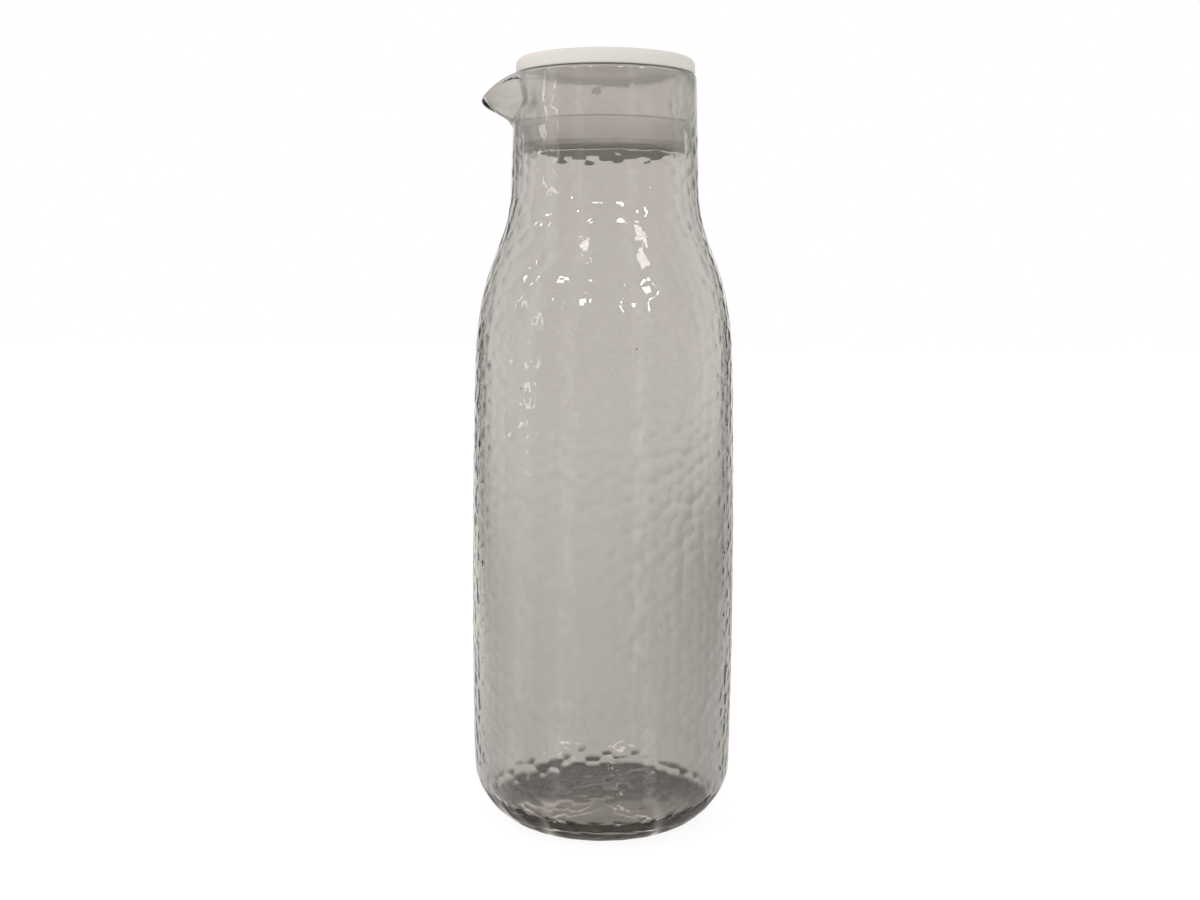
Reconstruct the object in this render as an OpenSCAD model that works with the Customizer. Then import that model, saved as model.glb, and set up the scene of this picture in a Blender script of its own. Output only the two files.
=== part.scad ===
// Smoked glass carafe with a pulled pouring lip and a push-in lid.
// Millimetres, +Z up. The origin is the centre of the foot and the lip points along -X.
// The lid is a moulded cap on a clear hollow plug, and the plug carries a soft seal ring.

/* [Carafe body] */
// Widest outer diameter of the body
body_d = 90; // [84:1:100]
// Height of the glass from the table to the top of the rim
glass_h = 253.3; // [245:0.1:280]
// Height of the neck, from the shoulder to the rim
neck_h = 34.6; // [30:0.1:44]
// Height of the shoulder, from the side to the neck
shoulder_h = 61; // [50:1:75]
// Radius lost between the belly and the shoulder
side_taper = 1.2; // [0:0.1:4]
// Radius lost between the belly and the top of the bottom corner
foot_taper = 0.7; // [0:0.1:3]
// Thickness of the side wall
wall = 2.3; // [1.8:0.1:3.5]
// Outer diameter of the ring that the carafe stands on
foot_d = 57; // [48:1:64]
// Width of the standing ring
foot_ring_w = 3.5; // [2:0.5:6]
// Depth of the hollow under the foot
punt_h = 1.4; // [0.6:0.1:3]
// Height of the rounded corner between foot and side
corner_h = 18; // [14:1:24]
// Thickness of the glass under the floor, at the standing ring
floor_t = 5.5; // [4:0.5:8]
// Diameter of the flat part of the inner floor
floor_flat_d = 58; // [48:1:64]
// Height of the rounded corner between floor and inner wall
inner_corner_h = 12; // [8:1:16]

/* [Neck and rim] */
// Diameter of the bore that the lid fits into
bore_d = 57; // [54:0.2:60]
// Thickness of the glass at the foot of the neck
neck_wall = 3; // [2.4:0.1:3.6]
// Thickness of the glass just under the rim
rim_wall = 2; // [1.6:0.1:2.4]
// Height of the rounding on the outside of the rim
rim_round_h = 1.4; // [1.1:0.1:3.2]
// Height of the rounding on the inside of the rim
rim_inner_round_h = 1; // [0.6:0.1:1.6]

/* [Pouring lip] */
// Reach of the lip beyond the outside of the neck
lip_out = 11; // [8:0.5:13]
// Drop from the rim to the tip of the lip
lip_drop = 7.6; // [5:0.2:9]
// Drop from the rim to the point where the lip leaves the neck
lip_depth = 18.6; // [16:0.2:22]
// Radius of the nose of the lip, seen from above
lip_nose_r = 2.4; // [2.1:0.1:4]
// Thickness of the glass in the lip
lip_wall = 1.7; // [1.4:0.1:2]

/* [Lid cap] */
// How far the cap stays inside the outer edge of the neck
cap_inset = 0.7; // [0.2:0.1:0.9]
// Height of the cap above the rim
cap_h = 5.1; // [4.8:0.1:8]
// Thickness of the top plate of the cap
cap_plate_t = 2.2; // [1.6:0.1:3]
// Rounding of the upper edge of the cap
cap_edge_r = 2; // [1:0.1:2.6]
// Rounding of the lower edge of the cap
cap_foot_r = 0.5; // [0.2:0.1:0.6]
// Height of the snap bead inside the skirt of the cap
bead_h = 1.2; // [0.8:0.1:1.6]
// How far the snap bead stands out
bead_out = 0.3; // [0.2:0.05:0.5]

/* [Plug] */
// Depth of the plug below the rim
plug_depth = 26.3; // [23:0.1:32]
// Gap between the plug and the bore
plug_gap = 0.5; // [0.4:0.1:1]
// Thickness of the wall of the plug behind the seal ring
plug_wall = 1.6; // [1.2:0.1:2]
// Thickness of the bottom of the plug
plug_floor_t = 1.8; // [1.4:0.1:3]
// Height of the flange below the seal ring
plug_flange_h = 1.3; // [1.1:0.1:2]
// Gap between the flange and the bore
plug_flange_gap = 1.2; // [0.8:0.1:1.6]
// Rounding of the lower edge of the plug
plug_edge_r = 0.9; // [0.4:0.1:1]
// Radius of the moulding dimple in the plug wall
dimple_r = 2; // [1:0.1:2.4]
// Depth of the moulding dimple
dimple_depth = 0.8; // [0.3:0.1:0.9]
// Turn of the dimple from the front, in degrees
dimple_turn = 6; // [0:1:360]
// Height of the dimple below the rim
dimple_drop = 10; // [8:0.1:11]

/* [Seal ring] */
// Height of the seal ring
seal_h = 8.9; // [6:0.1:10]
// Thickness of the band of the seal ring
seal_t = 1; // [0.8:0.1:2]
// Gap left between the seal lips and the bore
seal_gap = 0.2; // [0.1:0.05:0.3]
// How far the lips stand out from the band
seal_lip_out = 0.6; // [0.3:0.1:0.8]
// Height of each lip
seal_lip_h = 1.7; // [1.2:0.1:2]

/* [Hidden] */
$fn = 128;

// Fits and overruns
cut_over = 1;
snap_gap = 0.05;
seat_gap = 0.1;

// Radii of the glass
body_r = body_d / 2;
foot_r = foot_d / 2;
bore_r = bore_d / 2;
side_foot_r = body_r - foot_taper;
shoulder_r = body_r - side_taper;
neck_r = bore_r + neck_wall;
under_rim_r = bore_r + rim_wall;
cap_r = under_rim_r - cap_inset;
rim_mid_r = bore_r + rim_wall / 2;
rim_z = glass_h - rim_round_h;
inner_rim_z = glass_h - rim_inner_round_h;
neck_z = glass_h - neck_h;
shoulder_z = neck_z - shoulder_h;

// Handles of the outline's curves, as shares of the stretch that each one shapes
corner_pull_share = 0.43;
round_pull_share = 0.5523;
side_low_share = 0.19;
side_high_share = 0.66;
shoulder_start_share = 0.6;
shoulder_end_share = 0.4;
shoulder_lean_share = 0.03;

// Lengths and lean of the side's two ends, which the corner and the shoulder carry on
side_tall = shoulder_z - corner_h;
belly_pull_share = 1 / 6;
belly_pull_r = body_r + (foot_taper + side_taper) * belly_pull_share;
side_start_lean = (belly_pull_r - side_foot_r) / (side_low_share * side_tall);
side_end_lean = (belly_pull_r - shoulder_r) / ((1 - side_high_share) * side_tall);

corner_steps = 10;
side_steps = 10;
shoulder_steps = 16;
round_steps = 5;

function bezier(p, t) =
    pow(1 - t, 3) * p[0] + 3 * pow(1 - t, 2) * t * p[1] + 3 * (1 - t) * t * t * p[2] + pow(t, 3) * p[3];

// Points along a curve, without its first point
function along(p, steps) = [for (i = [1:steps]) bezier(p, i / steps)];

// A quarter of an ellipse about a centre, from one angle to another, without its first point
function quarter(centre, rx, ry, from, to) =
    [for (i = [1:round_steps]) let (a = from + (to - from) * i / round_steps)
        centre + [rx * cos(a), ry * sin(a)]];

function backwards(points) = [for (i = [len(points) - 1:-1:0]) points[i]];

// Outer corner of the glass, from the standing ring to the side
function corner_curve() = let (w = side_foot_r - foot_r, drop = corner_pull_share * corner_h) [
    [foot_r, 0],
    [foot_r + corner_pull_share * w, 0],
    [side_foot_r - side_start_lean * drop, corner_h - drop],
    [side_foot_r, corner_h]];

// The side, which swells a little to the belly; inset moves it inwards for the inner wall
function side_curve(inset, low_z) = [
    [side_foot_r - inset, low_z],
    [belly_pull_r - inset, corner_h + side_low_share * side_tall],
    [belly_pull_r - inset, corner_h + side_high_share * side_tall],
    [shoulder_r - inset, shoulder_z]];

// The shoulder, from the side to the neck; inset is the wall at its foot and top_r its end
function shoulder_curve(inset, top_r) =
    let (
        rise = shoulder_start_share * shoulder_h,
        lean = (shoulder_r - neck_r) * shoulder_lean_share
    ) [
    [shoulder_r - inset, shoulder_z],
    [shoulder_r - inset - side_end_lean * rise, shoulder_z + rise],
    [top_r + lean, neck_z - shoulder_end_share * shoulder_h],
    [top_r, neck_z]];

// Inner corner, from the inner wall down to the floor
function inner_corner_curve() = let (r = side_foot_r - wall, w = r - floor_flat_d / 2) [
    [r, floor_t + inner_corner_h],
    [r, floor_t + inner_corner_h * (1 - round_pull_share)],
    [floor_flat_d / 2 + round_pull_share * w, floor_t],
    [floor_flat_d / 2, floor_t]];

// Hollow under the foot, from the centre to the standing ring
function punt_curve() = let (r = foot_r - foot_ring_w) [
    [0, punt_h],
    [r * round_pull_share, punt_h],
    [r * (1 - round_pull_share / 2), punt_h * (1 - round_pull_share)],
    [r, 0]];

function glass_outline() = concat(
    [[0, punt_h]],
    along(punt_curve(), round_steps),
    [[foot_r, 0]],
    along(corner_curve(), corner_steps),
    along(side_curve(0, corner_h), side_steps),
    along(shoulder_curve(0, neck_r), shoulder_steps),
    [[under_rim_r, rim_z]],
    quarter([rim_mid_r, rim_z], rim_wall / 2, rim_round_h, 0, 90),
    quarter([rim_mid_r, inner_rim_z], rim_wall / 2, rim_inner_round_h, 90, 180),
    backwards(along(shoulder_curve(wall, bore_r), shoulder_steps)),
    backwards(along(side_curve(wall, floor_t + inner_corner_h), side_steps)),
    [inner_corner_curve()[0]],
    along(inner_corner_curve(), corner_steps),
    [[0, floor_t]]);

// The pouring lip is a stack of level sections. Each is the neck's circle drawn out to a nose.
lip_low_z = glass_h - lip_depth;
lip_tip_z = glass_h - lip_drop;
lip_reach = under_rim_r + lip_out;
lip_start_share = 0.66;
lip_start_r = under_rim_r * lip_start_share;
lip_root_share = 0.6;
lip_back_share = 0.5;
lip_rise_share = 0.6;
lip_run_share = 0.46;
lip_top_drop = 0.15;
lip_sink = 0.5;
lip_sections = 12;
nose_steps = 6;
back_steps = 6;

function neck_r_at(z) = z < rim_z
    ? neck_r + (under_rim_r - neck_r) * (z - neck_z) / (rim_z - neck_z)
    : rim_mid_r + rim_wall / 2 * sqrt(max(0, 1 - pow((z - rim_z) / rim_round_h, 2)));

function bore_r_at(z) = z < inner_rim_z
    ? bore_r
    : rim_mid_r - rim_wall / 2 * sqrt(max(0, 1 - pow((z - inner_rim_z) / rim_inner_round_h, 2)));

// Lower edge of the lip in side view: it leaves the neck upright and ends upright at the tip
function lip_keel() = let (r = neck_r_at(lip_low_z), tall = lip_tip_z - lip_low_z) [
    [r - lip_sink, lip_low_z],
    [r, lip_low_z + lip_rise_share * tall],
    [lip_reach, lip_tip_z - lip_run_share * tall],
    [lip_reach, lip_tip_z]];

// The same edge inside the glass
function channel_keel() = let (p = lip_keel()) [
    [bore_r - lip_sink / 2, p[0][1] + lip_wall / 2],
    [bore_r, p[1][1] + lip_wall],
    [p[2][0] - lip_wall, p[2][1] + lip_wall],
    [p[3][0] - lip_wall, p[3][1] + lip_wall]];

// One section: root, round the nose, root, and back again along an arc of radius back_r
function lip_section(z, reach, root_r, nose_r, back_r) =
    let (a = acos(min(1, (root_r - nose_r) / (reach - nose_r))))
    concat(
        [[-root_r * cos(a), root_r * sin(a), z]],
        [for (i = [0:nose_steps]) let (b = a - 2 * a * i / nose_steps)
            [-(reach - nose_r) - nose_r * cos(b), nose_r * sin(b), z]],
        [[-root_r * cos(a), -root_r * sin(a), z]],
        [for (i = [0:back_steps]) let (b = -a + 2 * a * i / back_steps)
            [-back_r * cos(b), back_r * sin(b), z]]);

// Sides and both ends of a stack of sections whose points run anticlockwise seen from above
function loft_faces(sections, points) = concat(
    [for (s = [0:sections - 2]) for (i = [0:points - 1])
        let (a = s * points + i, b = s * points + (i + 1) % points)
        each [[a, b + points, b], [a, a + points, b + points]]],
    [[for (i = [0:points - 1]) i]],
    [[for (i = [points - 1:-1:0]) (sections - 1) * points + i]]);

module loft(sections) {
    points = len(sections[0]);
    polyhedron(points = [for (s = sections) each s], faces = loft_faces(len(sections), points));
}

// Levels of the outer sections: up the keel, then straight up into the rounding of the rim
function lip_levels() = concat(
    [for (i = [0:lip_sections]) bezier(lip_keel(), i / lip_sections)],
    [[lip_reach, rim_z]],
    [for (i = [1:round_steps - 1])
        [lip_reach, rim_z + (rim_round_h - lip_top_drop) * sin(90 * i / (round_steps - 1))]]);

module lip_outside() {
    loft([for (p = lip_levels())
        let (outer = neck_r_at(p[1]), inner = bore_r_at(p[1]))
        lip_section(p[1], p[0],
            rim_mid_r + (outer - rim_mid_r) * lip_root_share, lip_nose_r,
            rim_mid_r + (inner - rim_mid_r) * lip_back_share)]);
}

module lip_channel() {
    levels = concat(
        [for (i = [0:lip_sections]) bezier(channel_keel(), i / lip_sections)],
        [[lip_reach - lip_wall, glass_h + cut_over]]);
    root_r = bore_r - lip_sink;
    loft([for (p = levels)
        lip_section(p[1], p[0], root_r, lip_nose_r - lip_wall, root_r * lip_back_share)]);
}

// Everything above the falling edge of the lip
lip_edge_steps = 12;
lip_fall_power = 3;
module above_lip_edge() {
    run = lip_reach - lip_start_r;
    edge = [for (i = [0:lip_edge_steps]) let (s = i / lip_edge_steps)
        [-(lip_start_r + run * s), glass_h - lip_drop * pow(s, lip_fall_power)]];
    rotate([90, 0, 0])
        linear_extrude(height = body_d, center = true)
            polygon(concat(
                [[-lip_start_r, glass_h + cut_over]],
                edge,
                [[-(lip_reach + cut_over), lip_tip_z - cut_over], [-(lip_reach + cut_over), glass_h + cut_over]]));
}

module carafe_body() {
    color([0.55, 0.53, 0.51, 0.5])
        difference() {
            union() {
                rotate_extrude()
                    polygon(glass_outline());
                lip_outside();
            }
            lip_channel();
            above_lip_edge();
        }
}

// Levels and radii of the lid, which hangs from the rim
cap_low_z = glass_h + seat_gap;
cap_top_z = cap_low_z + cap_h;
cap_under_z = cap_top_z - cap_plate_t;
plug_r = bore_r - plug_gap;
plug_low_z = glass_h - plug_depth;
skirt_in_r = plug_r + snap_gap;
bead_z = (cap_low_z + cap_under_z) / 2;
seal_low_z = plug_low_z + plug_flange_h;
seal_top_z = seal_low_z + seal_h;
seal_r = bore_r - seal_gap;
band_r = seal_r - seal_lip_out;
groove_r = band_r - seal_t;
flange_r = bore_r - plug_flange_gap;
plug_in_r = groove_r - plug_wall;

// A bead that stands in from an upright wall; grow widens it for the groove that takes it
bead_flat_share = 0.3;
function bead(r, z, grow) = let (half = bead_h / 2 + grow, flat = bead_h * bead_flat_share / 2 + grow) [
    [r, z - half],
    [r - bead_out, z - flat],
    [r - bead_out, z + flat],
    [r, z + half]];

module lid_cap() {
    color([0.88, 0.86, 0.83])
        rotate_extrude()
            polygon(concat(
                [[0, cap_under_z], [skirt_in_r, cap_under_z]],
                backwards(bead(skirt_in_r, bead_z, 0)),
                [[skirt_in_r, cap_low_z]],
                [[cap_r - cap_foot_r, cap_low_z]],
                quarter([cap_r - cap_foot_r, cap_low_z + cap_foot_r], cap_foot_r, cap_foot_r, -90, 0),
                [[cap_r, cap_top_z - cap_edge_r]],
                quarter([cap_r - cap_edge_r, cap_top_z - cap_edge_r], cap_edge_r, cap_edge_r, 0, 90),
                [[0, cap_top_z]]));
}

module lid_plug() {
    color([0.8, 0.79, 0.77, 0.6])
        difference() {
            rotate_extrude()
                polygon(concat(
                    [[0, plug_low_z], [flange_r - plug_edge_r, plug_low_z]],
                    quarter([flange_r - plug_edge_r, plug_low_z + plug_edge_r], plug_edge_r, plug_edge_r, -90, 0),
                    [[flange_r, seal_low_z], [groove_r, seal_low_z]],
                    [[groove_r, seal_top_z], [plug_r, seal_top_z]],
                    bead(plug_r, bead_z, snap_gap),
                    [[plug_r, cap_under_z], [plug_in_r, cap_under_z]],
                    [[plug_in_r, plug_low_z + plug_floor_t], [0, plug_low_z + plug_floor_t]]));
            rotate([0, 0, -dimple_turn])
                translate([0, -(plug_r - dimple_depth + dimple_r), glass_h - dimple_drop])
                    sphere(r = dimple_r);
        }
}

module seal_ring() {
    lip_z = [seal_low_z + seal_lip_h / 2, seal_top_z - seal_lip_h / 2];
    color([0.82, 0.81, 0.79, 0.8])
        rotate_extrude()
            polygon(concat(
                [[groove_r, seal_low_z], [band_r, seal_low_z]],
                quarter([band_r, lip_z[0]], seal_lip_out, seal_lip_h / 2, -90, 0),
                quarter([band_r, lip_z[0]], seal_lip_out, seal_lip_h / 2, 0, 90),
                [[band_r, lip_z[1] - seal_lip_h / 2]],
                quarter([band_r, lip_z[1]], seal_lip_out, seal_lip_h / 2, -90, 0),
                quarter([band_r, lip_z[1]], seal_lip_out, seal_lip_h / 2, 0, 90),
                [[groove_r, seal_top_z]]));
}

carafe_body();
lid_cap();
lid_plug();
seal_ring();
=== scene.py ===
import math

import bmesh
import bpy
import numpy as np
from mathutils import Matrix, Vector, kdtree, noise


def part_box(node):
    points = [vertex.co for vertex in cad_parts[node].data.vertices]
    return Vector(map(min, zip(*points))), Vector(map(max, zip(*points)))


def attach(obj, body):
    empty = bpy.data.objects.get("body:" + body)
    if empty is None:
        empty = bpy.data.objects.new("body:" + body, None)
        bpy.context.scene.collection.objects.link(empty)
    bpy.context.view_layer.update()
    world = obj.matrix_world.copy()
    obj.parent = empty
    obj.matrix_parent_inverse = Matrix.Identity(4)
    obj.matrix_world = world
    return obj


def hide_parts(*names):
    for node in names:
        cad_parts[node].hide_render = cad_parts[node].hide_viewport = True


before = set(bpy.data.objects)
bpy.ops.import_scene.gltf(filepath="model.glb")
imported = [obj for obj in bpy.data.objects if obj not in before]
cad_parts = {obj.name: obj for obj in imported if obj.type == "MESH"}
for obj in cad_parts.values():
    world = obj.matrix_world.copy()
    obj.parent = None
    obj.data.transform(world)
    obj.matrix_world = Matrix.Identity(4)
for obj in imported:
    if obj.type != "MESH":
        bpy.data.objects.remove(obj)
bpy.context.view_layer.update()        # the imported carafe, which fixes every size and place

mm = 0.001
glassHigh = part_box("carafe_body")[1]
capLow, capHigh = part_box("lid_cap")
plugLow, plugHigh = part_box("lid_plug")
sealLow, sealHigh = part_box("seal_ring")


# Shader maths: a socket that Python's operators work on
class Value:
    def __init__(self, finish, socket):
        self.finish = finish
        self.socket = socket

    def __add__(self, other):
        return self.finish.maths("ADD", self, other)

    def __radd__(self, other):
        return self.finish.maths("ADD", other, self)

    def __sub__(self, other):
        return self.finish.maths("SUBTRACT", self, other)

    def __rsub__(self, other):
        return self.finish.maths("SUBTRACT", other, self)

    def __mul__(self, other):
        return self.finish.maths("MULTIPLY", self, other)

    def __rmul__(self, other):
        return self.finish.maths("MULTIPLY", other, self)

    def __lt__(self, other):
        return self.finish.maths("LESS_THAN", self, other)


# A node tree, whose nodes are made by one method
class Finish:
    def __init__(self, holder):
        holder.use_nodes = True
        self.made = holder
        self.tree = holder.node_tree
        self.tree.nodes.clear()

    def node(self, kind, settings=None, sockets=None, output=0):
        node = self.tree.nodes.new(kind)
        for key, value in (settings or {}).items():
            setattr(node, key, value)
        for key, value in (sockets or {}).items():
            if isinstance(value, Value):
                self.tree.links.new(value.socket, node.inputs[key])
            else:
                node.inputs[key].default_value = value
        return Value(self, node.outputs[output]) if node.outputs else None

    def maths(self, operation, *values):
        return self.node("ShaderNodeMath", {"operation": operation}, dict(enumerate(values)))

    def vector(self, operation, sockets, output="Vector"):
        return self.node("ShaderNodeVectorMath", {"operation": operation}, sockets, output)

    def place(self):
        return self.node("ShaderNodeTexCoord", output="Object")

    def part(self, vector, axis):
        return self.node("ShaderNodeSeparateXYZ", None, {0: vector}, axis)

    def ramp(self, value, span, low=0.0, high=1.0, kind="SMOOTHSTEP"):
        ends = {"Value": value, "From Min": span[0], "From Max": span[1], "To Min": low, "To Max": high}
        return self.node("ShaderNodeMapRange", {"interpolation_type": kind}, ends)

    def noise(self, scale, detail, place=None):
        sockets = {"Vector": place or self.place(), "Scale": scale, "Detail": detail}
        return self.node("ShaderNodeTexNoise", None, sockets)

    def mixColour(self, share, first, second):
        settings = {"data_type": "RGBA", "clamp_factor": True}
        return self.node("ShaderNodeMix", settings, {0: share, 6: first, 7: second}, output=2)

    def bump(self, height, strength, distance):
        sockets = {"Height": height, "Strength": strength, "Distance": distance}
        return self.node("ShaderNodeBump", None, sockets)

    # roughness that changes a little over the surface
    def worn(self, form, name):
        least, spread, scale, detail = form[name]
        return least + spread * self.noise(scale, detail)

    def finish(self, surface, volume=None):
        sockets = {"Surface": surface}
        if volume:
            sockets["Volume"] = volume
        self.node("ShaderNodeOutputMaterial", None, sockets)
        return self.made


def newFinish(name):
    return Finish(bpy.data.materials.new(name))


def colour(red, green, blue):
    return (red, green, blue, 1)  # the last is the alpha


# Outlines are lists of (radius, height) points in metres
def bezier(handles, t):
    a, b, c, d = (Vector(handle) for handle in handles)
    return (1 - t) ** 3 * a + 3 * (1 - t) ** 2 * t * b + 3 * (1 - t) * t * t * c + t ** 3 * d


def curvePoints(handles, step):
    length = sum((Vector(b) - Vector(a)).length for a, b in zip(handles, handles[1:]))
    count = max(2, round(length / step))
    return [tuple(bezier(handles, i / count)) for i in range(1, count + 1)]


def linePoints(start, end, step):
    count = max(1, round((Vector(end) - Vector(start)).length / step))
    return [tuple(Vector(start).lerp(Vector(end), i / count)) for i in range(1, count + 1)]


def roundPoints(centre, across, up, start, end, count):
    angles = [math.radians(start + (end - start) * i / count) for i in range(1, count + 1)]
    return [(centre[0] + across * math.cos(a), centre[1] + up * math.sin(a)) for a in angles]


joinWithin = 0.002 * mm


def spinOutline(name, outline, columns, skins=None):
    bm = bmesh.new()
    skinLayer = bm.verts.layers.float.new("skin")
    ring = [bm.verts.new((radius, 0, height)) for radius, height in outline]
    for vertex, skin in zip(ring, skins or [0] * len(ring)):
        vertex[skinLayer] = skin
    edges = [bm.edges.new(pair) for pair in zip(ring, ring[1:])]
    if outline[0][0] > 0:
        edges.append(bm.edges.new((ring[-1], ring[0])))
    bmesh.ops.spin(bm, geom=ring + edges, cent=(0, 0, 0), axis=(0, 0, 1), dvec=(0, 0, 0),
                   angle=2 * math.pi, steps=columns, use_merge=True, use_duplicate=False)
    bmesh.ops.remove_doubles(bm, verts=bm.verts, dist=joinWithin)
    bmesh.ops.recalc_face_normals(bm, faces=bm.faces)
    openEdges = sum(1 for edge in bm.edges if not edge.is_manifold)
    mesh = bpy.data.meshes.new(name)
    bm.to_mesh(mesh)
    bm.free()
    mesh.shade_smooth()
    piece = bpy.data.objects.new(name, mesh)
    bpy.context.scene.collection.objects.link(piece)
    print(f"{name}: {len(mesh.vertices)} vertices, {openEdges} open edges")
    return piece


def readPoints(mesh):
    points = np.empty(len(mesh.vertices) * 3)
    mesh.vertices.foreach_get("co", points)
    return points.reshape(-1, 3)


def writePoints(mesh, points):
    mesh.vertices.foreach_set("co", points.ravel())
    mesh.update()


def readNormals(mesh):
    normals = np.empty(len(mesh.vertices) * 3)
    mesh.vertex_normals.foreach_get("vector", normals)
    return normals.reshape(-1, 3)


# The carafe's glass
glassForm = {
    "footRadius": 28.5 * mm,
    "footRing": 3.5 * mm,
    "footHollow": 1.4 * mm,
    "footTaper": 0.7 * mm,
    "sideTaper": 1.2 * mm,
    "cornerHeight": 18 * mm,
    "shoulderHeight": 61 * mm,
    "neckHeight": 34.6 * mm,
    "sideWall": 2.3 * mm,
    "neckWall": 3 * mm,
    "rimWall": 2 * mm,
    "boreRadius": 28.5 * mm,
    "rimRound": 1.4 * mm,
    "rimInnerRound": 1 * mm,
    "floorThickness": 5.5 * mm,
    "floorFlat": 29 * mm,
    "innerCorner": 12 * mm,
    # where the curves' handles stand, as shares of the curves' own lengths
    "bellyLow": 0.19,
    "bellyHigh": 0.66,
    "shoulderRise": 0.6,
    "shoulderDrop": 0.4,
    "shoulderLean": 0.03,
    "footPull": 0.43,
    "hollowStart": 0.55,
    "hollowEnd": 0.86,
    "hollowEndRise": 0.2,
    "floorPull": 0.55,
    "floorRise": 0.45,
    # how finely it is divided
    "columns": 280,
    "outerStep": 1.0 * mm,
    "innerStep": 6 * mm,
    "floorStep": 2.2 * mm,
    "rimCount": 8,
    "rimInnerCount": 6,
}
# the skins of the glass, with 0 for the plain ones
hammered, innerFloor, footSkin = 1, 2, 3


def glassOutline(form):
    outside, inside, bottom = form["outerStep"], form["innerStep"], form["floorStep"]
    bodyRadius, top = min(glassHigh.x, glassHigh.y), glassHigh.z
    neckLow = top - form["neckHeight"]
    sideHigh = neckLow - form["shoulderHeight"]
    corner, foot = form["cornerHeight"], form["footRadius"]
    sideFoot, sideTop = bodyRadius - form["footTaper"], bodyRadius - form["sideTaper"]
    tall = sideHigh - corner
    # the handles stand out past the body by this much, so that the curve's widest place has the body's radius
    belly = bodyRadius + (form["footTaper"] + form["sideTaper"]) / 6
    startLean = (belly - sideFoot) / (form["bellyLow"] * tall)
    endLean = (belly - sideTop) / ((1 - form["bellyHigh"]) * tall)
    neck, bore = form["boreRadius"] + form["neckWall"], form["boreRadius"]
    underRim, rimMiddle = bore + form["rimWall"], bore + form["rimWall"] / 2
    rimLow, innerRimLow = top - form["rimRound"], top - form["rimInnerRound"]

    def side(inset, low):
        return [(sideFoot - inset, low), (belly - inset, corner + form["bellyLow"] * tall),
                (belly - inset, corner + form["bellyHigh"] * tall), (sideTop - inset, sideHigh)]

    def shoulder(inset, topRadius):
        rise, drop = (form[share] * form["shoulderHeight"] for share in ("shoulderRise", "shoulderDrop"))
        lean = (sideTop - neck) * form["shoulderLean"]
        return [(sideTop - inset, sideHigh), (sideTop - inset - endLean * rise, sideHigh + rise),
                (topRadius + lean, neckLow - drop), (topRadius, neckLow)]

    def section(points, skin=0):
        for point in points:
            outline.append(point)
            skins.append(skin)

    outline, skins = [], []
    hollowEdge, hollow = foot - form["footRing"], form["footHollow"]
    dip, pull = form["footPull"] * corner, form["footPull"] * (sideFoot - foot)
    section([(0, hollow)])
    section(curvePoints([(0, hollow), (form["hollowStart"] * hollowEdge, hollow),
                         (form["hollowEnd"] * hollowEdge, form["hollowEndRise"] * hollow),
                         (hollowEdge, 0)], bottom), footSkin)
    section(linePoints((hollowEdge, 0), (foot, 0), outside))
    section(curvePoints([(foot, 0), (foot + pull, 0), (sideFoot - startLean * dip, corner - dip),
                         (sideFoot, corner)], outside), hammered)
    section(curvePoints(side(0, corner), outside), hammered)
    section(curvePoints(shoulder(0, neck), outside), hammered)
    section(linePoints((neck, neckLow), (underRim, rimLow), outside), hammered)
    halfRim = form["rimWall"] / 2
    section(roundPoints((rimMiddle, rimLow), halfRim, form["rimRound"], 0, 90, form["rimCount"]))
    section(roundPoints((rimMiddle, innerRimLow), halfRim, form["rimInnerRound"],
                        90, 180, form["rimInnerCount"]))
    wall, floor = form["sideWall"], form["floorThickness"]
    section(linePoints((bore, innerRimLow), (bore, neckLow), inside))
    section(curvePoints(shoulder(wall, bore)[::-1], inside))
    innerFoot, flat, rise = sideFoot - wall, form["floorFlat"], form["innerCorner"]
    section(curvePoints(side(wall, floor + rise)[::-1], inside))
    reach = flat + form["floorPull"] * (innerFoot - flat)
    section(curvePoints([(innerFoot, floor + rise), (innerFoot, floor + form["floorRise"] * rise),
                         (reach, floor), (flat, floor)], bottom), innerFloor)
    section(linePoints((flat, floor), (0, floor), bottom), innerFloor)
    return outline, skins


# The pouring lip, drawn out of the round neck
lipForm = {
    "reach": 11 * mm,
    "drop": 7.6 * mm,
    "depth": 18.6 * mm,
    "noseRadius": 2.4 * mm,
    "wall": 1.15 * mm,
    "startShare": 0.66,
    "fallPower": 3,
    "blend": 0.4 * mm,
    "stretchBelow": 7 * mm,
    "crowdAngle": math.radians(60),
    "crowdPower": 1.35,
    "keelRise": 0.6,  # the keel's handles, as shares of its height
    "keelDrop": 0.46,
    "innerNose": 0.7,  # share of the wall by which the trough's nose is tighter
    "flankLimit": 1.2,
    "keelCount": 120,
}


def keelRadius(heights, keel, count):
    points = np.array([bezier(keel, t) for t in np.linspace(0, 1, count)])
    return np.interp(heights, points[:, 1], points[:, 0])


# A level section: round the neck, along a flank tangent to it, and round the nose
def lipSection(angle, reach, root, nose, flankLimit):
    centre = np.maximum(reach - nose, root - nose)
    tilt = np.arccos(np.clip((root - nose) / centre, -1, 1))
    turn = np.arctan2(nose * np.sin(tilt), centre + nose * np.cos(tilt))
    onNose = centre * np.cos(angle) + np.sqrt(np.maximum(nose ** 2 - (centre * np.sin(angle)) ** 2, 0))
    onFlank = root / np.cos(np.minimum(np.abs(tilt - angle), flankLimit))
    return np.where(angle < turn, onNose, np.where(angle < tilt, onFlank, root))


def softPositive(values, blend):
    curved = (values + blend) ** 2 / (4 * blend)
    return np.where(values <= -blend, 0, np.where(values < blend, curved, values))


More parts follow.
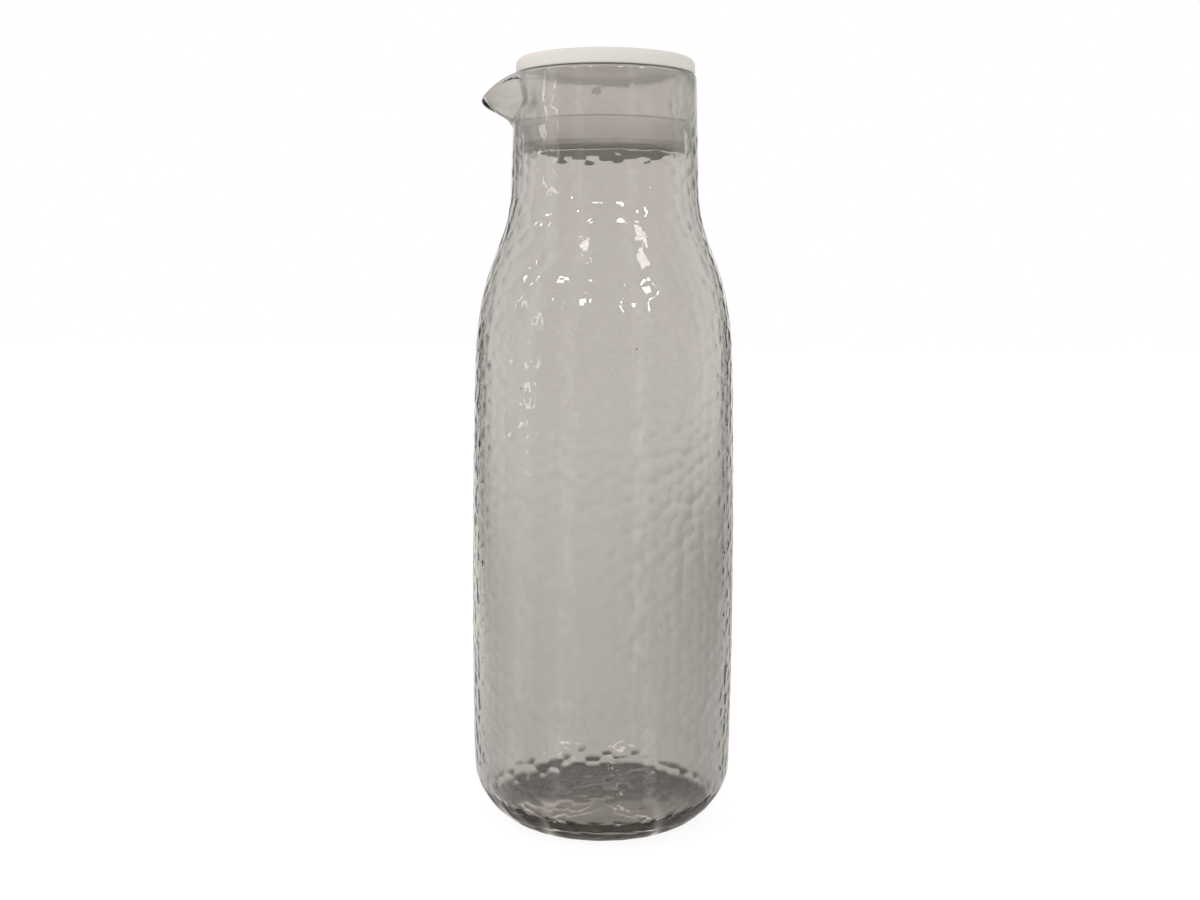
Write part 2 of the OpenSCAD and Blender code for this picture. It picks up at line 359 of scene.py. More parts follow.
def pullLip(piece, form, lip):
    mesh = piece.data
    points = readPoints(mesh)
    top, bore = glassHigh.z, form["boreRadius"]
    neck = bore + form["rimWall"]
    tipHeight, keelLow = top - lip["drop"], top - lip["depth"]
    reach, wall, nose = neck + lip["reach"], lip["wall"], lip["noseRadius"]
    rise, drop = lip["keelRise"] * (tipHeight - keelLow), lip["keelDrop"] * (tipHeight - keelLow)
    keel = [(neck, keelLow), (neck, keelLow + rise), (reach, tipHeight - drop), (reach, tipHeight)]
    channel = [(bore, keelLow + wall / 2), (bore, keelLow + rise + wall),
               (reach - wall, tipHeight - drop + wall), (reach - wall, tipHeight + wall)]
    radius = np.hypot(points[:, 0], points[:, 1])
    height = points[:, 2].copy()
    bearing = np.arctan2(points[:, 1], -points[:, 0])
    low = keelLow - lip["stretchBelow"]
    rimLow = top - form["rimRound"]
    nearRim = np.clip((height - low) / (keelLow - low), 0, 1)
    middle = bore + form["rimWall"] / 2 + (neckLean(form) * (rimLow - height)) / 2
    outer = radius > middle
    # Columns crowd towards the lip, so that its nose is round
    share = np.clip(np.abs(bearing) / lip["crowdAngle"], 0, 1)
    crowded = np.sign(bearing) * lip["crowdAngle"] * share ** lip["crowdPower"]
    bearing = np.where(share < 1, bearing + (crowded - bearing) * nearRim, bearing)
    angle = np.abs(bearing)
    blend = lip["blend"]
    ends = np.where(outer, reach, reach - wall)
    roots = np.where(outer, neck, bore) - blend
    noses = np.where(outer, nose, nose - lip["innerNose"] * wall)

    def growth(reaches):
        section = lipSection(angle, reaches, roots, noses, lip["flankLimit"])
        return softPositive(section - roots - blend, blend)

    fullRadius = radius + growth(ends)
    start = neck * lip["startShare"]
    along = np.clip((fullRadius * np.cos(angle) - start) / (reach - start), 0, 1)
    fall = lip["drop"] * along ** lip["fallPower"]
    inStretch = np.clip((height - low) / (rimLow - low), 0, 1)
    height = height - fall * np.where(height > low, inStretch, 0)
    count = lip["keelCount"]
    grown = growth(np.where(outer, keelRadius(height, keel, count), keelRadius(height, channel, count)))
    grown = np.where(height > low, grown, 0)
    radius = radius + grown
    points = np.stack([-radius * np.cos(bearing), radius * np.sin(bearing), height], axis=1)
    writePoints(mesh, points)
    return grown


def neckLean(form):
    return (form["neckWall"] - form["rimWall"]) / (form["neckHeight"] - form["rimRound"])


# The hammered outside: shallow dishes in staggered columns, cut into the glass
hammerForm = {
    "spacing": 5.2 * mm,
    "depth": 0.14 * mm,
    "depthSpread": 0.45,
    "jitter": 0.75 * mm,
    "radiusShare": 0.6,
    "reachShare": 1.5,  # how far a dish is felt, in its own radii
    "soften": 0.008 * mm,
    "leastPower": -10,  # below it a dish adds nothing
    "ridgeDepth": 0.09 * mm,
    "ridgeBlend": 0.06,
    "smoothBelowRim": 6 * mm,
    "fade": 5 * mm,
    "fadeLow": 1.7 * mm,
    "fadeLip": 0.4 * mm,
    "neckShare": 0.6,
    "neckSpan": (215 * mm, 240 * mm),
    "seed": 7,
}
dishNames = ("dishNear", "dishNext", "dishThird")


def dishCentres(outline, skins, hammer):
    path = [Vector(point) for point, skin in zip(outline, skins) if skin == hammered]
    random = np.random.RandomState(hammer["seed"])
    rowStep = hammer["spacing"] / 2
    columnStep = hammer["spacing"] * math.sqrt(3)
    centres, travelled, rowIndex = [], 0, 0
    for previous, point in zip(path, path[1:]):
        travelled += (point - previous).length
        if travelled < rowIndex * rowStep:
            continue
        count = round(2 * math.pi * point.x / columnStep)
        for column in range(count):
            turn = (column + 0.5 * (rowIndex % 2)) / count * 2 * math.pi
            turn += random.normal(0, hammer["jitter"]) / point.x
            height = point.y + random.normal(0, hammer["jitter"])
            depth = hammer["depth"] * (1 + hammer["depthSpread"] * random.uniform(-1, 1))
            centres.append((point.x * math.cos(turn), point.x * math.sin(turn), height, depth))
        rowIndex += 1
    return centres


def dishDepths(probes, centres, hammer):
    radius, soften = hammer["spacing"] * hammer["radiusShare"], hammer["soften"]
    reach = radius * hammer["reachShare"]
    order = np.argsort(probes[:, 2])
    sortedProbes = probes[order]
    sums = np.zeros(len(probes))
    for x, y, z, depth in centres:
        first, last = np.searchsorted(sortedProbes[:, 2], (z - reach, z + reach))
        near = sortedProbes[first:last]
        apart = (near[:, 0] - x) ** 2 + (near[:, 1] - y) ** 2 + (near[:, 2] - z) ** 2
        cut = depth * (1 - apart / radius ** 2)
        sums[first:last] += np.exp(np.maximum(cut, hammer["leastPower"] * soften) / soften)
    depths = np.empty(len(probes))
    depths[order] = soften * np.log(1 + sums)
    return depths


def pressDishes(piece, outline, skins, hammer, grown):
    mesh = piece.data
    points, normals = readPoints(mesh), readNormals(mesh)
    skin = np.empty(len(points))
    mesh.attributes["skin"].data.foreach_get("value", skin)
    centres = dishCentres(outline, skins, hammer)
    highest = glassHigh.z - hammer["smoothBelowRim"]
    fade = np.clip((highest - points[:, 2]) / hammer["fade"], 0, 1)
    fade *= np.clip(points[:, 2] / hammer["fadeLow"], 0, 1)
    fade *= np.clip(1 - grown / hammer["fadeLip"], 0, 1)
    fade *= np.interp(points[:, 2], hammer["neckSpan"], (1, hammer["neckShare"]))
    fade = np.where(np.round(skin) == hammered, fade, 0)
    moves = dishDepths(points, centres, hammer)
    rememberDishes(mesh, centres, fade)
    writePoints(mesh, points - normals * (moves * fade)[:, None])
    print(f"hammered glass: {len(centres)} dishes")


def rememberDishes(mesh, centres, fade):
    # each face keeps its three nearest dishes, from which the shader draws the ridges between them
    tree = kdtree.KDTree(len(centres))
    for index, centre in enumerate(centres):
        tree.insert(centre[:3], index)
    tree.balance()
    places = np.empty(len(mesh.polygons) * 3)
    mesh.polygons.foreach_get("center", places)
    nearest = [[hit[0] for hit in tree.find_n(place, len(dishNames))] for place in places.reshape(-1, 3)]
    for rank, name in enumerate(dishNames):
        layer = mesh.attributes.new(name, "FLOAT_VECTOR", "FACE")
        layer.data.foreach_set("vector", np.array([hits[rank] for hits in nearest]).ravel())
    mesh.attributes.new("hammered", "FLOAT", "POINT").data.foreach_set("value", fade)


# The floor of the glass is never quite even, inside and in the hollow of the foot
floorForm = {
    "swell": 0.1 * mm,
    "size": 9 * mm,
    "hollowSwell": 0.03 * mm,
    "hollowSize": 5.5 * mm,
    "seed": 3.7,
}


def swellFloor(piece, swell):
    mesh = piece.data
    points = readPoints(mesh)
    skin = np.empty(len(points))
    mesh.attributes["skin"].data.foreach_get("value", skin)
    for kind, height, size in ((innerFloor, swell["swell"], swell["size"]),
                               (footSkin, swell["hollowSwell"], swell["hollowSize"])):
        for index in np.nonzero(np.round(skin) == kind)[0]:
            x, y, z = points[index]
            lift = noise.noise(Vector((x / size, y / size, swell["seed"])))
            points[index][2] = max(z + height * lift, 0)
    writePoints(mesh, points)


# The ridges between the dishes: the squared distance to the nearest dish's middle
def ridgeHeight(look, hammer):
    reach = hammer["spacing"] * hammer["radiusShare"]
    near = None
    for name in dishNames:
        centre = look.node("ShaderNodeAttribute", {"attribute_name": name}, output="Vector")
        apart = look.vector("SUBTRACT", {0: look.place(), 1: centre})
        apart = look.vector("SCALE", {0: apart, "Scale": 1 / reach})
        squared = look.vector("DOT_PRODUCT", {0: apart, 1: apart}, "Value")
        near = look.maths("SMOOTH_MIN", near, squared, hammer["ridgeBlend"]) if near else squared
    return near * look.node("ShaderNodeAttribute", {"attribute_name": "hammered"}, output="Fac")


# Smoke-grey glass, part of its colour at the surface and part growing with depth
smokeForm = {
    "deepTint": colour(0.745, 0.729, 0.713),
    "paleTint": colour(0.79, 0.774, 0.757),
    "paleSpan": (20 * mm, 200 * mm),  # heights over which the tint turns paler
    "cloud": 0.25,
    "cloudNoise": (22, 3),  # scale and detail, as of every noise here
    "mottle": 0.8,
    "mottleNoise": (170, 4),
    "lipSpan": (-30.5 * mm, -36 * mm),  # the drawn lip is a little deeper in colour
    "lipHeight": (222 * mm, 232 * mm),
    "seedScale": 62,  # small dark seeds in the glass, and their radius in cells
    "seedRadius": 0.018,
    "seedShare": 0.95,
    "seedColour": colour(0.02, 0.017, 0.014),
    "fineRelief": 0.25,
    "fineNoise": (420, 2),
    "broadRelief": 0.5,
    "broadNoise": (150, 2),
    "roughness": (0.004, 0.012, 35, 4),  # least, spread, scale and detail
    "bending": 1.5,
    "depthColour": colour(0.32, 0.279, 0.225),
    "depthDensity": 42.0,
}


def smokedGlass(form):
    look = newFinish("smokedGlass")
    across, height = look.part(look.place(), "X"), look.part(look.place(), "Z")
    upwards = look.ramp(height, form["paleSpan"], kind="LINEAR")
    lip = look.ramp(height, form["lipHeight"], kind="LINEAR")
    lip = lip * look.ramp(across, form["lipSpan"], kind="LINEAR")
    cloud = form["cloud"] * (look.noise(*form["cloudNoise"]) - 0.5)
    mottle = form["mottle"] * (look.noise(*form["mottleNoise"]) - 0.5)
    tint = look.mixColour(upwards + cloud + mottle - lip, form["deepTint"], form["paleTint"])
    cells = {"Vector": look.place(), "Scale": form["seedScale"]}
    distance = look.node("ShaderNodeTexVoronoi", {"voronoi_dimensions": "3D"}, cells, output="Distance")
    tint = look.mixColour((distance < form["seedRadius"]) * form["seedShare"], tint, form["seedColour"])
    relief = ridgeHeight(look, hammerForm) + form["fineRelief"] * look.noise(*form["fineNoise"])
    relief = relief + form["broadRelief"] * look.noise(*form["broadNoise"])
    shader = look.node("ShaderNodeBsdfPrincipled", None, {
        "Base Color": tint,
        "Roughness": look.worn(form, "roughness"),
        "IOR": form["bending"],
        "Transmission Weight": 1.0,
        "Normal": look.bump(relief, 1.0, hammerForm["ridgeDepth"]),
    })
    depth = {"Color": form["depthColour"], "Density": form["depthDensity"]}
    return look.finish(shader, look.node("ShaderNodeVolumeAbsorption", None, depth))


def makeCarafe():
    outline, skins = glassOutline(glassForm)
    piece = spinOutline("carafe", outline, glassForm["columns"], skins)
    grown = pullLip(piece, glassForm, lipForm)
    pressDishes(piece, outline, skins, hammerForm, grown)
    swellFloor(piece, floorForm)
    piece.data.materials.append(smokedGlass(smokeForm))
    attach(piece, "carafe")
    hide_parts("carafe_body")
    print("carafe made")


hair = 0.01 * mm  # what a face may be off its surface

# The cream cap, whose skirt snaps over the top of the plug
capForm = {
    "edgeRound": 2 * mm,
    "footRound": 0.5 * mm,
    "plate": 2.2 * mm,
    "skirtRadius": 28.05 * mm,
    "beadOut": 0.3 * mm,
    "beadHeight": 1.2 * mm,
    "beadFlat": 0.15,  # share of the bead's height on each side of its middle
    "columns": 192,
    "step": 1.2 * mm,
    "edgeCount": 8,
    "footCount": 5,
    "palest": colour(0.72, 0.698, 0.668),
    "deepest": colour(0.68, 0.658, 0.63),
    "cloudNoise": (40, 3),
    "roughness": (0.38, 0.12, 300, 3),
    "bending": 1.47,
    "sheen": 0.3,
    "grainNoise": (2600, 2),
    "grainStrength": 0.12,
    "grainDepth": 0.05 * mm,
    "paintedGlow": 0.46,  # painted glow on the inner faces, standing in for light coming through the plastic
}


def creamPlastic(name, form, paintedGlow):
    look = newFinish(name)
    shade = look.mixColour(look.noise(*form["cloudNoise"]), form["palest"], form["deepest"])
    grain = look.noise(*form["grainNoise"])
    shader = look.node("ShaderNodeBsdfPrincipled", None, {
        "Base Color": shade,
        "Roughness": look.worn(form, "roughness"),
        "IOR": form["bending"],
        "Specular IOR Level": form["sheen"],
        # a painted glow, which is zero on the cap's outer faces
        "Emission Color": shade,
        "Emission Strength": paintedGlow,
        "Normal": look.bump(grain, form["grainStrength"], form["grainDepth"]),
    })
    return look.finish(shader)


# The snap bead of the cap and its groove in the plug, downwards: both bend towards the axis
def beadPoints(radius, middle, form):
    out, half, flat = form["beadOut"], form["beadHeight"] / 2, form["beadHeight"] * form["beadFlat"]
    return [(radius, middle + half), (radius - out, middle + flat),
            (radius - out, middle - flat), (radius, middle - half)]


def makeCap():
    form = capForm
    radius, low, top = min(capHigh.x, capHigh.y), capLow.z, capHigh.z
    under, step, skirt = top - form["plate"], form["step"], form["skirtRadius"]
    edge, foot = form["edgeRound"], form["footRound"]
    outline = [(0, under)]
    outline += linePoints((0, under), (skirt, under), step)
    outline += beadPoints(skirt, (under + low) / 2, form)
    outline += [(skirt, low)]
    outline += linePoints((skirt, low), (radius - foot, low), step)
    outline += roundPoints((radius - foot, low + foot), foot, foot, -90, 0, form["footCount"])
    outline += linePoints((radius, low + foot), (radius, top - edge), step)
    outline += roundPoints((radius - edge, top - edge), edge, edge, 0, 90, form["edgeCount"])
    outline += linePoints((radius - edge, top), (0, top), step)
    piece = spinOutline("cap", outline, form["columns"])
    piece.data.materials.append(creamPlastic("creamPlastic", form, 0))
    # the inner faces under the plate and inside the skirt take the painted glow
    piece.data.materials.append(creamPlastic("creamPlasticPaintedGlow", form, form["paintedGlow"]))
    for face in piece.data.polygons:
        inSkirt, underPlate = face.center.xy.length < skirt + hair, face.center.z < under + hair
        face.material_index = int(inSkirt and underPlate)
    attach(piece, "lid")
    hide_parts("lid_cap")
    print("cap made")


# The clear hollow plug
plugForm = {
    "wall": 1.6 * mm,
    "floor": 1.8 * mm,
    "flange": 1.3 * mm,
    "flangeRadius": 27.3 * mm,
    "grooveRadius": 26.7 * mm,
    "edgeRound": 0.9 * mm,
    "edgeCount": 5,
    "sealHeight": 8.9 * mm,
    "beadOut": 0.3 * mm,
    "beadHeight": 1.3 * mm,
    "beadFlat": 0.15,
    "dimpleRadius": 2 * mm,
    "dimpleDepth": 0.8 * mm,
    "dimpleDrop": 10 * mm,
    "dimpleTurn": math.radians(6),
    "columns": 256,
    "step": 0.9 * mm,
    "bending": 1.46,
    "clearPalest": colour(1, 0.998, 0.99),
    "clearDeepest": colour(0.955, 0.95, 0.94),
    "clearCloud": 1.6,
    "clearCloudNoise": (330, 3),
    "clearRoughness": (0.06, 0.1, 120, 3),
    "clearRelief": (300, 2),
    "clearReliefStrength": 0.25,
    "frostedRadius": 23 * mm,
    "frostedPalest": colour(0.76, 0.735, 0.70),
    "frostedDeepest": colour(0.62, 0.6, 0.57),
    "frostedCloudNoise": (90, 3),
    "frostedRoughness": (0.45, 0.1, 200, 3),
    "frostedRelief": (700, 2),
    "frostedReliefStrength": 0.1,
    "frostedSheen": 0.25,
    "reliefDepth": 0.2 * mm,
}


def clearPlastic(form):
    look = newFinish("clearPlastic")
    cloud = 0.5 + form["clearCloud"] * (look.noise(*form["clearCloudNoise"]) - 0.5)
    relief = look.noise(*form["clearRelief"])
    shader = look.node("ShaderNodeBsdfPrincipled", None, {
        "Base Color": look.mixColour(cloud, form["clearPalest"], form["clearDeepest"]),
        "Roughness": look.worn(form, "clearRoughness"),
        "IOR": form["bending"],
        "Transmission Weight": 1.0,
        "Normal": look.bump(relief, form["clearReliefStrength"], form["reliefDepth"]),
    })
    return look.finish(shader)


def frostedPlastic(form):
    look = newFinish("frostedPlastic")
    cloud, relief = look.noise(*form["frostedCloudNoise"]), look.noise(*form["frostedRelief"])
    shader = look.node("ShaderNodeBsdfPrincipled", None, {
        "Base Color": look.mixColour(cloud, form["frostedPalest"], form["frostedDeepest"]),
        "Roughness": look.worn(form, "frostedRoughness"),
        "IOR": form["bending"],
        "Specular IOR Level": form["frostedSheen"],
        "Normal": look.bump(relief, form["frostedReliefStrength"], form["reliefDepth"]),
    })
    return look.finish(shader)


def makePlug():
    form = plugForm
    radius, low, top = min(plugHigh.x, plugHigh.y), plugLow.z, plugHigh.z
    flange, groove, edge, step = form["flangeRadius"], form["grooveRadius"], form["edgeRound"], form["step"]
    sealLower = low + form["flange"]
    sealUpper = sealLower + form["sealHeight"]
    inner, floorTop = groove - form["wall"], low + form["floor"]
    bead = beadPoints(radius, (capLow.z + top) / 2, form)[::-1]
    outline = [(0, low)]
    outline += linePoints((0, low), (flange - edge, low), step)
    outline += roundPoints((flange - edge, low + edge), edge, edge, -90, 0, form["edgeCount"])
    outline += linePoints((flange, low + edge), (flange, sealLower), step)
    outline += linePoints((flange, sealLower), (groove, sealLower), step)
    outline += linePoints((groove, sealLower), (groove, sealUpper), step)
    outline += linePoints((groove, sealUpper), (radius, sealUpper), step)
    outline += linePoints((radius, sealUpper), bead[0], step)
    outline += bead[1:]
    outline += linePoints(bead[-1], (radius, top), step)
    outline += linePoints((radius, top), (inner, top), step)
    outline += linePoints((inner, top), (inner, floorTop), step)
    outline += linePoints((inner, floorTop), (0, floorTop), step)
    piece = spinOutline("plug", outline, form["columns"])
    pressDimple(piece, form)
    piece.data.materials.append(clearPlastic(form))
    piece.data.materials.append(frostedPlastic(form))
    for face in piece.data.polygons:
        away = face.center.xy.length
        frostedBottom = face.center.z < low + hair and away < form["frostedRadius"]
        frostedEdge = face.center.z < sealLower - hair and away > flange - edge
        face.material_index = int(frostedBottom or frostedEdge)
    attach(piece, "lid")
    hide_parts("lid_plug")
    print("plug made")


# A round moulding mark in the plug's wall: what a ball would cover is pushed out to its skin
def pressDimple(piece, form):
    points = readPoints(piece.data)
    ball, depth, radius = form["dimpleRadius"], form["dimpleDepth"], plugHigh.x
    height = glassHigh.z - form["dimpleDrop"]
    away = radius - depth + ball
    turn = form["dimpleTurn"]
    centre = Vector((-away * math.sin(turn), -away * math.cos(turn), height))
    for index, point in enumerate(points):
        apart = Vector(point) - centre
        if apart.length < ball:
            points[index] = centre + apart.normalized() * ball
    writePoints(piece.data, points)


# The soft seal ring with its two lips
sealForm = {
    "band": 1 * mm,
    "lipOut": 0.6 * mm,
    "lipHeight": 1.7 * mm,
    "lipCount": 12,
    "columns": 192,
    "step": 0.8 * mm,
    "palest": colour(0.99, 0.985, 0.975),
    "deepest": colour(0.96, 0.955, 0.945),
    "cloudNoise": (80, 3),
    "roughness": (0.3, 0.1, 200, 3),
    "bending": 1.13,  # low, because the wet-looking ring clings to the glass
    "clearness": 0.96,
    "relief": (500, 2),
    "reliefStrength": 0.1,
    "reliefDepth": 0.2 * mm,
}


def softSilicone(form):
    look = newFinish("softSilicone")
    relief = look.noise(*form["relief"])
    shader = look.node("ShaderNodeBsdfPrincipled", None, {
        "Base Color": look.mixColour(look.noise(*form["cloudNoise"]), form["palest"], form["deepest"]),
        "Roughness": look.worn(form, "roughness"),
        "IOR": form["bending"],
        "Transmission Weight": form["clearness"],
        "Normal": look.bump(relief, form["reliefStrength"], form["reliefDepth"]),
    })
    return look.finish(shader)


def makeSeal():
    form = sealForm
    out, half, count = form["lipOut"], form["lipHeight"] / 2, form["lipCount"]
    low, top, band = sealLow.z, sealHigh.z, min(sealHigh.x, sealHigh.y) - out
    groove = band - form["band"]
    outline = linePoints((groove, top), (groove, low), form["step"])
    outline += linePoints((groove, low), (band, low), form["step"])
    outline += roundPoints((band, low + half), out, half, -90, 90, count)
    outline += linePoints((band, low + 2 * half), (band, top - 2 * half), form["step"])
    outline += roundPoints((band, top - half), out, half, -90, 90, count)
    outline += linePoints((band, top), (groove, top), form["step"])
    piece = spinOutline("seal", outline, form["columns"])
    piece.data.materials.append(softSilicone(form))
    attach(piece, "lid")
    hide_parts("seal_ring")
    print("seal made")


# The photograph's viewpoint
cameraForm = {
    "place": Vector((-1.17 * mm, -496.95 * mm, 183.85 * mm)),
    "pitch": 6.45,
    "roll": 0.311,
    "lens": 43.65,
    "sensor": 36,
}


# Floor and light. Pairs of numbers say where a change starts and ends, in parts of a unit direction
studio = {
    "floorSize": 8.0,
    "floorCells": 8,
    "floorColour": colour(0.85, 0.85, 0.85),
    "floorWhite": 1.12,  # what the camera sees, with its share of shadow
    "floorShade": 0.2,
    "floorThrough": 1.085,  # what is seen through the glass or mirrored in it
    "floorThroughShare": 0.8,
    "footShadowSize": (38 * mm, 46 * mm),  # the painted shadow under the foot: half its width and depth
    "footForward": 8 * mm,
    "footEdge": (1, 1.3),  # in half widths
    "footDark": (0.01, 0.05),  # in front and behind
    "footDarkSpan": (-18 * mm, 8 * mm),
    # the painted shadow's warm tint
    "footShadowWarm": colour(1, 0.945, 0.87),
    "ambient": 0.77,
    "low": 0.88,
    "lowSpan": (-0.26, -0.1),
    "rightLow": 0.36,
    "rightAcross": (-0.02, 0.14),
    "rightHeight": (-0.08, -0.18),
    "leftLow": 0.3,
    "leftAcross": (-0.02, -0.14),
    "leftHeight": (-0.24, -0.34),
    "wing": (0.4, 0.78),  # high up and low down
    "wingHeight": (0.12, -0.02),
    "wingInner": (0.25, 0.5),
    "wingOuter": (0.82, 0.64),
    "wingBehind": (0, 0.3),
    "cloud": 0.12,
    "cloudNoise": (16, 2),
    "above": 1.0,
    "aboveSpan": (0.25, 0.5),
    "front": 0.35,
    "horizon": (-0.03, 0.05),
    "behindSpan": (-0.3, 0.3),
    "warm": colour(1, 0.98, 0.955),
    "plainWhite": colour(1, 1, 1),
    "aim": Vector((0, 0, 0.14)),
    "bounces": 32,
    "glossyBounces": 8,
}
streaks = [
    # soft upright lights in reflections: azimuth and width in degrees, radiance below and above the horizon
    (-33, 3, 1.1, 0.5),
    (-72, 8, 0.5, 0.8),
    (34, 3, 1.2, 0.5),
]
panels = [
    # name, azimuth and elevation in degrees, distance, width, height, radiance, in reflections, through glass
    ("tallLeft", -64, 6, 1.3, 0.04, 0.40, 4.5, True, False),
    ("tallFarLeft", -81, 8, 1.3, 0.05, 0.40, 4.5, True, False),
    ("farLeft", -78, 25, 1.3, 0.06, 0.10, 20, True, False),
    ("nearLeft", -40, 25, 1.3, 0.12, 0.08, 20, True, False),
    ("middleLeft", -17, 25, 1.3, 0.12, 0.07, 20, True, False),
    ("middleRight", 19, 25, 1.3, 0.13, 0.08, 24, True, False),
    ("nearRight", 46, 26, 1.3, 0.12, 0.20, 24, True, False),
    ("deepMiddle", -27, 56, 1.3, 0.24, 0.50, 24, False, True),
    ("deepRightLow", 49, 41, 1.3, 0.18, 0.13, 34, False, True),
    ("deepRightMiddle", 49, 50, 1.3, 0.16, 0.09, 34, False, True),
    ("deepRightHigh", 49, 59, 1.3, 0.18, 0.16, 34, False, True),
    ("softLeft", -65, 40, 1.6, 1.0, 1.0, 1.4, False, False),
]


def throughLevel(look, direction):
    # white behind the carafe, with painted shade a little darker low down and low on both sides, where the
    # carafe's own shadow falls on the floor behind it
    across, behind, height = (look.part(direction, axis) for axis in "XYZ")
    level = look.ramp(height, studio["lowSpan"], studio["low"], 1)
    for side in ("right", "left"):
        corner = look.ramp(across, studio[side + "Across"]) * look.ramp(height, studio[side + "Height"])
        level = level * (1 - studio[side + "Low"] * corner)
    # a dark wing on each side behind the carafe, which draws the dark dashes along its edges
    aside = look.maths("ABSOLUTE", across)
    wing = look.ramp(aside, studio["wingInner"]) * look.ramp(aside, studio["wingOuter"])
    wing = wing * look.ramp(behind, studio["wingBehind"])
    level = level * (1 - wing * look.ramp(height, studio["wingHeight"], *studio["wing"]))
    level = level * (1 + studio["cloud"] * (look.noise(*studio["cloudNoise"], direction) - 0.5))
    return level + look.ramp(height, studio["aboveSpan"]) * (studio["above"] - level)


def mirrorLevel(look, direction, behind):
    # what the outside of the glass reflects: a dim room with upright lights in front, the backdrop behind
    azimuth = look.maths("ARCTAN2", look.part(direction, "X"), 0 - look.part(direction, "Y"))
    level = studio["front"]
    for centre, width, low, high in streaks:
        radiance = look.ramp(look.part(direction, "Z"), studio["horizon"], low, high)
        apart = (azimuth - math.radians(centre)) * (1 / math.radians(width))
        level = level + radiance * look.maths("EXPONENT", 0 - apart * apart)
    back = look.ramp(look.part(direction, "Y"), studio["behindSpan"])
    return level + back * (behind - level)


def pickRays(look):
    kinds = ("Is Camera Ray", "Is Glossy Ray", "Is Transmission Ray")
    return [look.node("ShaderNodeLightPath", output=kind) for kind in kinds]


def paleFloor():
    look = newFinish("paleFloor")
    matt = look.node("ShaderNodeBsdfDiffuse", None, {"Color": studio["floorColour"]})
    cameraRay, glossyRay, throughRay = pickRays(look)
    place = look.place()
    towards = look.vector("NORMALIZE", {0: look.vector("SUBTRACT", {0: place, 1: cameraForm["place"]})})
    outwards = look.vector("NORMALIZE", {0: place})
    # the dark patch where the foot shuts off the light, which reaches further to the front
    wide, deep = studio["footShadowSize"]
    shifted = look.vector("ADD", {0: place, 1: (0, studio["footForward"], 0)})
    scaled = look.vector("MULTIPLY", {0: shifted, 1: (1 / wide, 1 / deep, 0)})
    openShare = look.ramp(look.vector("LENGTH", {0: scaled}, "Value"), studio["footEdge"])
    under = look.ramp(look.part(place, "Y"), studio["footDarkSpan"], *studio["footDark"])
    # painted shadow: the floor seen through the glass darkens under the foot
    through = throughLevel(look, towards) * (under + (1 - under) * openShare)
    mirrored = mirrorLevel(look, outwards, through)
    seen = through + glossyRay * (mirrored - through)
    strength = cameraRay * studio["floorWhite"] + (1 - cameraRay) * seen * studio["floorThrough"]
    # the painted shadow under the foot is tinted warm
    warm = look.mixColour(openShare, studio["footShadowWarm"], studio["warm"])
    tint = look.mixColour(cameraRay, warm, studio["plainWhite"])
    paintedGlow = look.node("ShaderNodeEmission", None, {"Color": tint, "Strength": strength})
    seenThrough = look.maths("MAXIMUM", glossyRay, throughRay) * studio["floorThroughShare"]
    share = look.maths("MAXIMUM", cameraRay * (1 - studio["floorShade"]), seenThrough)
    return look.finish(look.node("ShaderNodeMixShader", None, {0: share, 1: matt, 2: paintedGlow}))


def makeFloor():
    bm = bmesh.new()
    cells = studio["floorCells"]
    bmesh.ops.create_grid(bm, x_segments=cells, y_segments=cells, size=studio["floorSize"] / 2)
    mesh = bpy.data.meshes.new("floor")
    bm.to_mesh(mesh)
    bm.free()
    floor = bpy.data.objects.new("floor", mesh)
    bpy.context.scene.collection.objects.link(floor)
    mesh.materials.append(paleFloor())
    print("floor made")


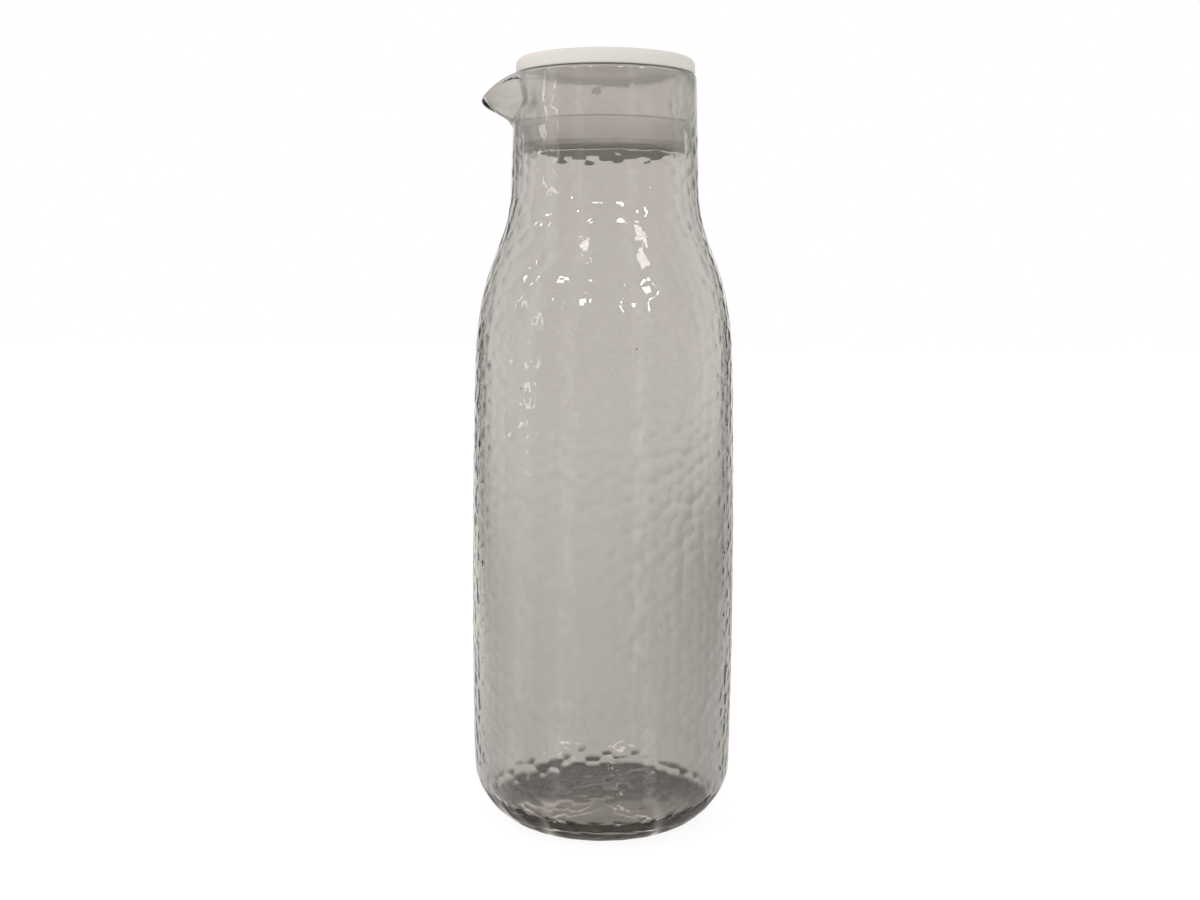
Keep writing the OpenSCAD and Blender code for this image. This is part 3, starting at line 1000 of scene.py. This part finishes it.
def makeWorld():
    world = bpy.data.worlds.new("softRoom")
    bpy.context.scene.world = world
    look = Finish(world)
    direction = look.node("ShaderNodeTexCoord", output="Generated")  # in a world, the way that the ray goes
    cameraRay, glossyRay, throughRay = pickRays(look)
    through = throughLevel(look, direction)
    mirrored = mirrorLevel(look, direction, through)
    plain = studio["ambient"] + throughRay * (through - studio["ambient"])
    plain = plain + glossyRay * (mirrored - plain)
    strength = cameraRay + (1 - cameraRay) * plain
    tint = look.mixColour(cameraRay, studio["warm"], studio["plainWhite"])
    sky = look.node("ShaderNodeBackground", None, {"Color": tint, "Strength": strength})
    look.node("ShaderNodeOutputWorld", None, {"Surface": sky})
    print("room made")


def makePanels():
    for name, azimuth, elevation, distance, width, height, radiance, reflected, through in panels:
        around, up = math.radians(azimuth), math.radians(elevation)
        away = Vector((math.sin(around) * math.cos(up), -math.cos(around) * math.cos(up), math.sin(up)))
        data = bpy.data.lights.new(name, "AREA")
        data.shape = "RECTANGLE"
        data.size, data.size_y = width, height
        data.energy = radiance * math.pi * width * height
        data.color = studio["warm"][:3]
        light = bpy.data.objects.new(name, data)
        bpy.context.scene.collection.objects.link(light)
        light.matrix_world = (Matrix.Translation(studio["aim"] + away * distance)
                              @ away.to_track_quat("Z", "Y").to_matrix().to_4x4())
        light.visible_camera = False
        light.visible_transmission = through
        light.visible_glossy = reflected
        light.visible_diffuse = not through  # a lamp that is there for the glass lights nothing else
    print("lamps made")


def makeCamera():
    data = bpy.data.cameras.new("view")
    data.sensor_width = cameraForm["sensor"]
    data.lens = cameraForm["lens"]
    camera = bpy.data.objects.new("view", data)
    bpy.context.scene.collection.objects.link(camera)
    tilt = Matrix.Rotation(math.radians(90 - cameraForm["pitch"]), 4, "X")
    roll = Matrix.Rotation(math.radians(cameraForm["roll"]), 4, "Z")
    camera.matrix_world = Matrix.Translation(cameraForm["place"]) @ tilt @ roll
    bpy.context.scene.camera = camera
    print("camera placed")


makeCamera()
makeWorld()
makePanels()
makeFloor()
makeCarafe()
makeCap()
makePlug()
makeSeal()
bpy.context.scene.view_settings.view_transform = "Standard"
bpy.context.scene.cycles.max_bounces = studio["bounces"]
bpy.context.scene.cycles.transmission_bounces = studio["bounces"]
bpy.context.scene.cycles.glossy_bounces = studio["glossyBounces"]
